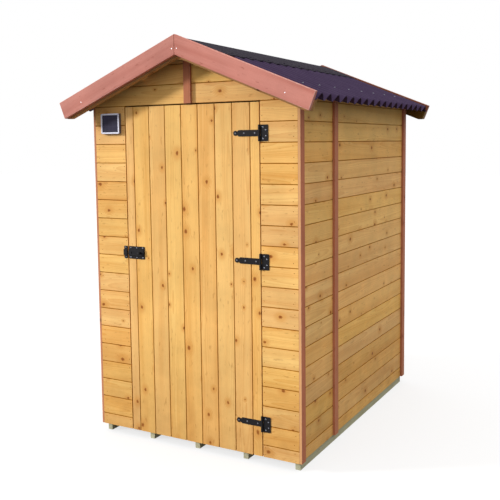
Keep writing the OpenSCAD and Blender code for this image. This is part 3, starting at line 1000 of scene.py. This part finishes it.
def roof_sheets():
    """Both corrugated sheets: one wave raised row by row, repeated, sawn to length, given thickness,
    and copied to the other slope."""
    length = SHEET_HIGH.y - SHEET_LOW.y
    eave = (SHEET_HIGH.x - WAVE_H * math.sin(SLOPE)) / math.cos(SLOPE)
    count = math.ceil(length / WAVE_PITCH) + 1
    start = -count * WAVE_PITCH / 2
    sheet = new_piece(bpy.ops.mesh.primitive_grid_add, "right_roof_sheet_corrugated", x_subdivisions=1,
                      y_subdivisions=WAVE_STEPS, size=1, scale=(eave - SHEET_TOP_S, WAVE_PITCH, 1),
                      location=((eave + SHEET_TOP_S) / 2, start + WAVE_PITCH / 2, 0))
    with editing(sheet):
        for step in range(1, WAVE_STEPS):
            y = start + step * WAVE_PITCH / WAVE_STEPS
            rise = (WAVE_H - SHEET_T) / 2 * (1 - math.cos(2 * math.pi * step / WAVE_STEPS))
            pick(sheet, "VERT", lambda c: abs(c.y - y) < NEAR)
            bpy.ops.transform.translate(value=(0, 0, rise))
    row(sheet, count, (0, WAVE_PITCH, 0))
    face_outwards(sheet)
    for side in (-1, 1):
        with editing(sheet):
            bpy.ops.mesh.bisect(plane_co=(0, side * length / 2, 0), plane_no=(0, side, 0),
                                clear_outer=True)
    upright = sum(f.normal.z for f in sheet.data.polygons)
    apply_modifier(sheet, "SOLIDIFY", thickness=SHEET_T, offset=1.0 if upright > 0 else -1.0)
    turned(sheet, "Y", SLOPE, (0, 0, RIDGE_Z))
    other = sheet.copy()
    other.data = sheet.data.copy()
    other.name = "left_roof_sheet_corrugated"
    bpy.context.collection.objects.link(other)
    turned(other, "Z", math.pi)
    dress(sheet, SHEET, "cabin", "right_roof_sheet")
    dress(other, SHEET, "cabin", "left_roof_sheet")


def crest_ys():
    """Places of the wave crests along the roof."""
    half = int((SHEET_HIGH.y - SHEET_LOW.y) / WAVE_PITCH / 2)
    return [(i + 0.5) * WAVE_PITCH for i in range(-half, half)]


def ridge_cap():
    """The ridge cap: a flange, spun over the ridge, drawn down the other side, slack between crests."""
    low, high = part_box("ridge_cap")
    crest_top = RIDGE_Z + WAVE_H / math.cos(SLOPE)
    centre_z = crest_top - CAP_RADIUS / math.cos(SLOPE)
    bend_s = (CAP_RADIUS - WAVE_H) * math.tan(SLOPE)
    flange = CAP_FLANGE - bend_s
    step = flange / CAP_FLANGE_STEPS
    rows = round((high.y - low.y) / WAVE_PITCH) * PHASES
    cap = new_piece(bpy.ops.mesh.primitive_grid_add, "ridge_cap_sheet", size=1,
                    x_subdivisions=CAP_FLANGE_STEPS, y_subdivisions=rows,
                    scale=(flange, high.y - low.y, 1), location=(bend_s + flange / 2, 0, WAVE_H))
    turned(cap, "Y", SLOPE, (0, 0, RIDGE_Z))
    bend_x = CAP_RADIUS * math.sin(SLOPE)
    with editing(cap):
        pick(cap, "EDGE", lambda c, d: abs(d.y) > 0.99 and c.x < bend_x + NEAR)
        bpy.ops.mesh.spin(steps=CAP_BEND_STEPS, angle=2 * SLOPE, center=(0, 0, centre_z), axis=ALONG_Y)
        for _ in range(CAP_FLANGE_STEPS):
            push((-step * math.cos(SLOPE), 0, -step * math.sin(SLOPE)))
    face_outwards(cap)
    upright = sum(f.normal.z for f in cap.data.polygons)
    if upright < 0:
        with editing(cap):
            bpy.ops.mesh.flip_normals()
    edge_x = CAP_FLANGE * math.cos(SLOPE) + WAVE_H * math.sin(SLOPE)
    with editing(cap):
        for reach, share in ((edge_x, 1.0), (edge_x - step * math.cos(SLOPE), CAP_INNER_SAG)):
            for phase in range(1, PHASES):
                slack = share * CAP_SAG * (1 - math.cos(2 * math.pi * phase / PHASES)) / 2
                pick(cap, "VERT", lambda c: abs(abs(c.x) - reach) < ROW_NEAR and wave_phase(c.y) == phase)
                bpy.ops.transform.translate(value=(0, 0, -slack))
    apply_modifier(cap, "SOLIDIFY", thickness=SHEET_T, offset=1.0)
    dress(cap, CAP, "cabin", "ridge_cap")


def wave_phase(y):
    """Part of a wave that a place along the roof lies in, 0 on a crest and half of PHASES in a trough."""
    return round((y / WAVE_PITCH - 0.5) * PHASES) % PHASES


# Nails and screws

def nail(name="nail", radius=NAIL_R):
    """A flat nail head that stands a little proud of a board facing -Y."""
    head = rod(name, radius, (0, NAIL_PROUD, 0), (0, -NAIL_PROUD, 0), sides=10)
    ease(head, NAIL_PROUD / 2, 1)
    return head


def roof_nail():
    """A domed nail with a washer rim, standing on +Z."""
    head = rod("roof_nail", ROOF_NAIL_R, (0, 0, -ROOF_NAIL_ROOT), (0, 0, ROOF_NAIL_H / 2), sides=12)
    with editing(head):
        pick(head, "FACE", lambda c, n: n.z > 0.9)
        bpy.ops.mesh.inset(thickness=ROOF_NAIL_R * 0.35)
        push((0, 0, ROOF_NAIL_H / 4))
        bpy.ops.transform.resize(value=(0.7, 0.7, 1))
        push((0, 0, ROOF_NAIL_H / 4))
        bpy.ops.transform.resize(value=(0.4, 0.4, 1))
    return head


def screw():
    """A round screw head with a driver recess, facing -Y."""
    head = rod("screw", SCREW_R, (0, HEAD_SINK, 0), (0, -SCREW_H, 0), sides=12)
    with editing(head):
        round_off(head, SCREW_R * 0.35, 2, lambda c, d: c.y < -SCREW_H + TOUCHING)
        pick(head, "FACE", lambda c, n: n.y < -0.99)
        bpy.ops.mesh.inset(thickness=SCREW_R * 0.25)
        push((0, SCREW_H * 0.5, 0))
    return head


def board_rows(low, high):
    """Lower and upper edge of every board row between two heights."""
    start, count = board_count(low, high, FIRST_JOINT_Z)
    edges = [(start + i * BOARD_COVER, start + (i + 1) * BOARD_COVER) for i in range(count)]
    return [(max(a, low), min(b, high)) for a, b in edges]


def wall_nails(name, facing, node, columns):
    """Two nails a board in each column, given as distances from the wall's left end."""
    draw = random.Random(name)
    low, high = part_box(node)
    left, _, face = wall_frame(node, facing)
    spots = []
    for bottom, top in board_rows(low.z, high.z):
        for column in columns:
            for share in NAIL_SHARES:
                x = left + column + draw.uniform(-NAIL_STRAY, NAIL_STRAY)
                z = bottom + (top - bottom) * (share + draw.uniform(-NAIL_STRAY_SHARE, NAIL_STRAY_SHARE))
                spots.append((x, face, z))
    piece = copies(nail(), name, spots)
    turned(piece, "Z", FACING_TURN[facing])
    dress(piece, NAIL, "cabin")


def strip_nails():
    """Nails down the corner and seam strips."""
    spots = []
    low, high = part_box("corner_strips")
    seam_low, seam_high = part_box("seam_strips")
    gap = (high.z - low.z - 2 * STRIP_NAIL_END) / (STRIP_NAIL_COUNT - 1)
    for y in (low.y + STRIP_W / 2, high.y - STRIP_W / 2, (seam_low.y + seam_high.y) / 2):
        for i in range(STRIP_NAIL_COUNT):
            for facing, x in (("left", -high.x), ("right", high.x)):
                turn = Matrix.Rotation(FACING_TURN[facing], 4, "Z")
                local = turn.inverted() @ Vector((x, y, low.z + STRIP_NAIL_END + i * gap))
                spots.append(turn @ Matrix.Translation(local))
    dress(copies(nail(), "strip_nails", spots), NAIL, "cabin")


def barge_nails():
    """Nails through the barge boards into the rafters, front and rear."""
    spots = []
    for node, facing in (("front_left_barge_board", "front"), ("rear_left_barge_board", "rear")):
        low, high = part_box(node)
        face = -high.y if facing == "rear" else low.y
        turn = Matrix.Rotation(FACING_TURN[facing], 4, "Z")
        for side in (-1, 1):
            for run in BARGE_NAIL_RUNS:
                z = RIDGE_Z - run * math.tan(SLOPE) - BARGE_NAIL_LOW
                spots.append(turn @ Matrix.Translation((side * run, face + BARGE_FACE_IN, z)))
    dress(copies(nail("barge_nail", BARGE_NAIL_R), "barge_nails", spots), BRIGHT_ZINC, "cabin")


def on_slope(side, run, y, height):
    """Place on a roof slope: run down it, at y along the roof, and height over the bearing plane."""
    turn = Matrix.Translation((0, 0, RIDGE_Z)) @ Matrix.Rotation(side * SLOPE, 4, "Y")
    return turn @ Matrix.Translation((side * run, y, height))


def roof_nails():
    """Nails on every second crest: bright ones over the side walls, dark ones through the ridge cap."""
    wall_run = (BOARD_OUT - WAVE_H * math.sin(SLOPE)) / math.cos(SLOPE)
    crests = [(side, y) for y in crest_ys()[1::2] for side in (-1, 1)]
    spots = [on_slope(side, wall_run, y, WAVE_H - HEAD_SINK) for side, y in crests]
    dress(copies(roof_nail(), "roof_nails", spots), ZINC, "cabin")
    cap_top = WAVE_H + SHEET_T
    spots = [on_slope(side, CAP_FLANGE - CAP_NAIL_IN, y, cap_top - HEAD_SINK) for side, y in crests]
    dress(copies(roof_nail(), "cap_nails", spots), CAP, "cabin")


# Hinges

def pin_rod(name, radius, middle, half, sides):
    """A round bar about the axis of the hinge pins, half its length either way of a height."""
    return rod(name, radius, (PIN.x, PIN.y, middle - half), (PIN.x, PIN.y, middle + half), sides)


def hinge_straps():
    """T hinge straps: parallel strap, shouldered neck, round tip and the middle knuckle."""
    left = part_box("hinge_straps")[0].x
    z = HINGE_ZS[0]
    tip_x = left + STRAP_TIP_R
    neck_x = left + 2 * STRAP_TIP_R - NECK_OVERLAP
    shoulder_x = neck_x + STRAP_SHOULDER
    face = FRONT_Y - HINGE_T
    strap = block("strap", (shoulder_x, face, z - STRAP_H / 2), (PIN.x, FRONT_Y, z + STRAP_H / 2))
    with editing(strap):
        pick(strap, "FACE", lambda c, n: n.x < -0.9)
        push((-STRAP_SHOULDER, 0, 0))
        bpy.ops.transform.resize(value=(1, 1, STRAP_NECK_H / STRAP_H))
        push((tip_x - neck_x, 0, 0))
    tip = rod("tip", STRAP_TIP_R, (tip_x, face, z), (tip_x, FRONT_Y, z), ROUND_SIDES)
    knuckle = pin_rod("knuckle", KNUCKLE_R, z, STRAP_H / 2, ROUND_SIDES)
    for part in (strap, tip, knuckle):
        ease(part, IRON_EASED)
    weld(strap, tip)
    weld(strap, knuckle)
    face_outwards(strap)
    dress(at_hinges(strap, "hinge_straps_iron"), IRON, "door", "hinge_straps")
    columns = [PIN.x - run for run in STRAP_SCREW_RUNS] + [tip_x]
    spots = [(x, face, height) for height in HINGE_ZS for x in columns]
    dress(copies(screw(), "strap_screws", spots), ZINC, "door")


def hinge_plates():
    """Hinge plates on the wall with their two knuckles and the pin."""
    low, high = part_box("hinge_plates")
    z = HINGE_ZS[0]
    half = z - low.z
    face = FRONT_Y - HINGE_T
    plate = block("plate", (PIN.x, face, z - half), (high.x, FRONT_Y, z + half))
    with editing(plate):
        round_off(plate, PLATE_CORNER, 3, lambda c, d: abs(d.y) > 0.99 and c.x > high.x - TOUCHING)
    knuckle = pin_rod("knuckle", KNUCKLE_R, z, half, ROUND_SIDES)
    for part in (plate, knuckle):
        ease(part, IRON_EASED)
    weld(plate, knuckle)
    free = STRAP_H / 2 + KNUCKLE_GAP
    gap_x = KNUCKLE_R + KNUCKLE_CLEAR
    cut_out(plate, block("gap", (PIN.x - 2 * gap_x, FRONT_Y - 4 * KNUCKLE_R, z - free),
                         (PIN.x + gap_x, FRONT_Y + HINGE_T, z + free)))
    face_outwards(plate)
    pin = pin_rod("pin", PIN_R, z, half - PIN_SHORT, SMALL_SIDES)
    plate = joined([plate, pin], "plate")
    dress(at_hinges(plate, "hinge_plates_iron"), IRON, "cabin", "hinge_plates")
    spots = [(PIN.x + x, face, height + rise) for height in HINGE_ZS for x, rise in PLATE_SCREWS]
    dress(copies(screw(), "plate_screws", spots), ZINC, "cabin")


# Latch

def bolt_passage(low_x, high_x):
    """The space that the flat bolt slides through."""
    half = BOLT_W / 2 + BOLT_PLAY
    front = FRONT_Y - LATCH_T - BOLT_T - 2 * BOLT_PLAY
    return block("passage", (low_x, front, LATCH_Z - half),
                 (high_x, FRONT_Y - LATCH_T, LATCH_Z + half))


def latch_housing(name, low, high, cover_low, cover_high):
    """A flat plate with a raised cover, hollow for the bolt."""
    plate = block(name, (low.x, FRONT_Y - LATCH_T, low.z), (high.x, FRONT_Y, high.z))
    with editing(plate):
        round_off(plate, LATCH_CORNER, 3, lambda c, d: abs(d.y) > 0.99)
    half = BOLT_W / 2 + BOLT_PLAY + COVER_WALL
    cover = block("cover", (cover_low, low.y, LATCH_Z - half),
                  (cover_high, FRONT_Y - LATCH_T / 2, LATCH_Z + half))
    with editing(cover):
        round_off(cover, COVER_WALL * 0.9, 3, lambda c, d: abs(d.x) > 0.99 and c.y < low.y + TOUCHING)
    weld(plate, cover)
    cut_out(plate, bolt_passage(low.x - CUT_PAST, high.x + CUT_PAST))
    return plate


def latch_screws(name, body, low, high, shares):
    """Screws along the upper and lower edge of a latch plate, at shares of its length."""
    spots = [(low.x + share * (high.x - low.x), FRONT_Y - LATCH_T, z)
             for share in shares for z in (low.z + LATCH_SCREW_IN, high.z - LATCH_SCREW_IN)]
    dress(copies(screw(), name, spots), ZINC, body)


def latch_plate():
    """The plate on the door with the bolt's cover, slotted for the knob's stem."""
    low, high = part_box("latch_plate")
    stem_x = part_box("latch_bolt")[1].x - KNOB_SETBACK
    plate = latch_housing("latch_plate_iron", low, high, low.x + COVER_WALL, high.x - COVER_WALL)
    half = STEM_R + STEM_PLAY
    cut_out(plate, block("slot", (stem_x - BOLT_TRAVEL - 2 * STEM_R, low.y - CUT_PAST, LATCH_Z - half),
                         (stem_x + 2 * STEM_R, FRONT_Y - LATCH_T - BOLT_PLAY, LATCH_Z + half)))
    ease(plate, LATCH_EASED, 1)
    dress(plate, IRON, "door", "latch_plate")
    latch_screws("latch_screws", "door", low, high, LATCH_SCREW_SHARES)


def latch_keeper():
    """The loop on the wall that takes the bolt's tip."""
    low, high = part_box("latch_keeper")
    keeper = latch_housing("latch_keeper_iron", low, high, low.x, high.x)
    ease(keeper, LATCH_EASED, 1)
    dress(keeper, IRON, "cabin", "latch_keeper")
    latch_screws("keeper_screws", "cabin", low, high, (0.5,))


def latch_bolt():
    """The flat bolt with its rounded tip and turned knob."""
    low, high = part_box("latch_bolt")
    back = FRONT_Y - LATCH_T - BOLT_PLAY
    half = BOLT_W / 2
    bolt = block("latch_bolt_iron", (low.x, back - BOLT_T, LATCH_Z - half),
                 (high.x, back, LATCH_Z + half))
    with editing(bolt):
        round_off(bolt, half * 0.98, 8, lambda c, d: abs(d.y) > 0.99 and c.x < low.x + TOUCHING)
    ease(bolt, LATCH_EASED, 1)
    stem_x = high.x - KNOB_SETBACK
    stem = rod("stem", STEM_R, (stem_x, back - BOLT_T / 2, LATCH_Z), (stem_x, low.y + KNOB_R, LATCH_Z),
               SMALL_SIDES)
    weld(bolt, stem)
    knob = new_piece(bpy.ops.mesh.primitive_uv_sphere_add, "knob", segments=24, ring_count=14,
                     radius=KNOB_R, location=(stem_x, low.y + KNOB_R * KNOB_FLAT, LATCH_Z),
                     scale=(1, KNOB_FLAT, 1))
    weld(bolt, knob)
    dress(bolt, IRON, "bolt", "latch_bolt")


# Solar panel

def mark_sides(piece, low, high):
    """Notes the outer sides of the panel's frame, between its front and its back."""
    def outer(place, normal):
        depth = min(place.x - low.x, high.x - place.x, place.z - low.z, high.z - place.z)
        return 1.0 if depth < SOLAR_RIM / 2 and abs(normal.y) < 0.5 else 0.0

    mark(piece, "side", outer)


def solar_panel():
    """The panel beside the door: a shallow tray and the cells in it."""
    low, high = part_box("solar_frame")
    tray = block("solar_frame_plastic", low, high)
    with editing(tray):
        round_off(tray, SOLAR_CORNER, 3, lambda c, d: abs(d.y) > 0.99)
        pick(tray, "FACE", lambda c, n: n.y < -0.99)
        bpy.ops.mesh.inset(thickness=SOLAR_RIM)
        push((0, (high.y - low.y) / 2, 0))
    ease(tray, SOLAR_EASED)
    mark_sides(tray, low, high)
    dress(tray, PLASTIC, "cabin", "solar_frame")
    low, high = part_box("solar_cell")
    inset = Vector((PANE_GAP, 0, PANE_GAP))
    pane = block("solar_cell_pane", low + inset, high - inset)
    ease(pane, PANE_EASED)
    dress(pane, CELLS, "cabin", "solar_cell")


# The pieces, from the walls to the nails

for panel, side in (("front_wall_left", "front"), ("front_wall_right", "front"), ("rear_wall", "rear"),
                    ("left_wall_front", "left"), ("left_wall_rear", "left"),
                    ("right_wall_front", "right"), ("right_wall_rear", "right")):
    wall_boards(panel, side)
gable_boards("front_gable", "front")
gable_boards("rear_gable", "rear")
door_leaf()
floor_deck()

floor_bearers()
for bars, along, sizes in (
        ("corner_posts", ALONG_Z, (POST_W, POST_W)),
        ("door_posts", ALONG_Z, (DOOR_POST_W,)),
        ("seam_posts", ALONG_Z, (POST_W,)),
        ("front_head_rail", ALONG_X, ()),
        ("rear_head_rail", ALONG_X, ()),
        ("left_wall_plate", ALONG_Y, ()),
        ("right_wall_plate", ALONG_Y, ()),
        ("ridge_beam", ALONG_Y, ())):
    timbers(bars, PLAIN, along, *sizes)
timbers("corner_strips", RED_STRIP, ALONG_Z, STRIP_T, STRIP_W, eased=STRIP_EASED)
timbers("seam_strips", RED_STRIP, ALONG_Z, STRIP_T, eased=STRIP_EASED)
timbers("gable_strip", RED_STRIP, ALONG_Z, eased=STRIP_EASED)
door_ledges()
purlin(-1, "left_purlin")
purlin(1, "right_purlin")
for hand, sign in (("left", -1), ("right", 1)):
    # At the rear, darker copies of the rafter wood and the red stain paint the shade on those boards.
    for end, rafter, barge, insets in (("front", RAFTER_AND_SHADE, RED, (BARGE_FACE_IN, 0.0)),
                                       ("rear", REAR_RAFTER_SHADED, REAR_RED_SHADED, (0.0, BARGE_FACE_IN))):
        slope_board(sign, f"{end}_{hand}_rafter", RAFTER_LOW, 0.0, rafter, EASED)
        slope_board(sign, f"{end}_{hand}_barge_board", BARGE_LOW, BARGE_RISE, barge, BARGE_EASED, *insets)

roof_sheets()
ridge_cap()
hinge_straps()
hinge_plates()
latch_plate()
latch_keeper()
latch_bolt()
solar_panel()

panel_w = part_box("front_wall_left")[1].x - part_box("front_wall_left")[0].x
wall_nails("front_left_nails", "front", "front_wall_left", (CORNER_NAIL_IN, panel_w - DOOR_NAIL_IN))
wall_nails("front_right_nails", "front", "front_wall_right", (DOOR_NAIL_IN, panel_w - CORNER_NAIL_IN))
wall_nails("rear_nails", "rear", "rear_wall", (CORNER_NAIL_IN, 2 * BOARD_OUT - CORNER_NAIL_IN))
strip_nails()
barge_nails()
roof_nails()


# Floor, light and camera

def studio():
    """Plain pale floor, soft sky that is brighter overhead, and one soft lamp low from the left."""
    floor = new_piece(bpy.ops.mesh.primitive_plane_add, "studio_floor", size=FLOOR_SIZE)
    material, g, shader = new_material("studio_floor")
    shader.inputs["Base Color"].default_value = (GROUND, GROUND, GROUND, 1)
    shader.inputs["Roughness"].default_value = 0.9
    white = g.add("ShaderNodeEmission", color=(1, 1, 1, 1), strength=FLOOR_GLOW).outputs[0]
    weak = g.add("ShaderNodeBsdfDiffuse", color=(FLOOR_SHADE, FLOOR_SHADE, FLOOR_SHADE, 1)).outputs[0]
    seen = g.add("ShaderNodeAddShader").inputs
    g.feed(seen[0], white)
    g.feed(seen[1], weak)
    direct = g.seen_directly()
    choice = g.add("ShaderNodeMixShader", fac=direct)
    g.feed(choice.inputs[1], shader.outputs[0])
    g.feed(choice.inputs[2], seen[0].node.outputs[0])
    g.feed(g.tree.nodes["Material Output"].inputs["Surface"], choice.outputs[0])
    floor.data.materials.append(material)

    world = bpy.data.worlds.new("studio_sky")
    world.use_nodes = True
    bpy.context.scene.world = world
    g = Graph(world.node_tree)
    direct = g.seen_directly()
    toward = g.add("ShaderNodeTexCoord").outputs["Generated"]
    up = g.math("MAXIMUM", g.add("ShaderNodeSeparateXYZ", vector=toward).outputs["Z"], 0.0)
    sky = g.math("MULTIPLY_ADD", up, SKY_RISE, SKY_LOW)
    back = world.node_tree.nodes["Background"]
    back.inputs["Color"].default_value = (1, 1, 1, 1)
    g.feed(back.inputs["Strength"], g.math("MAXIMUM", sky, direct))

    key = bpy.data.lights.new("key_lamp", "SUN")
    key.angle = KEY_SOFT
    key.energy = KEY_STRENGTH
    lamp = bpy.data.objects.new("key_lamp", key)
    bpy.context.collection.objects.link(lamp)
    lamp.rotation_euler = (math.pi / 2 - KEY_RISE, 0, -KEY_LEFT)
    bpy.context.scene.view_settings.view_transform = "Standard"


def camera():
    """The camera of the photograph."""
    lens = bpy.data.cameras.new("photo_camera")
    lens.sensor_width = CAMERA_SENSOR
    lens.lens = CAMERA_LENS
    lens.shift_x, lens.shift_y = CAMERA_SHIFT
    eye = bpy.data.objects.new("photo_camera", lens)
    bpy.context.collection.objects.link(eye)
    look = Euler((math.pi / 2 - CAMERA_PITCH, 0, CAMERA_YAW)).to_matrix()
    turn = look @ Matrix.Rotation(CAMERA_ROLL, 3, "Z")
    eye.matrix_world = Matrix.Translation(CAMERA_PLACE) @ turn.to_4x4()
    bpy.context.scene.camera = eye


studio()
camera()
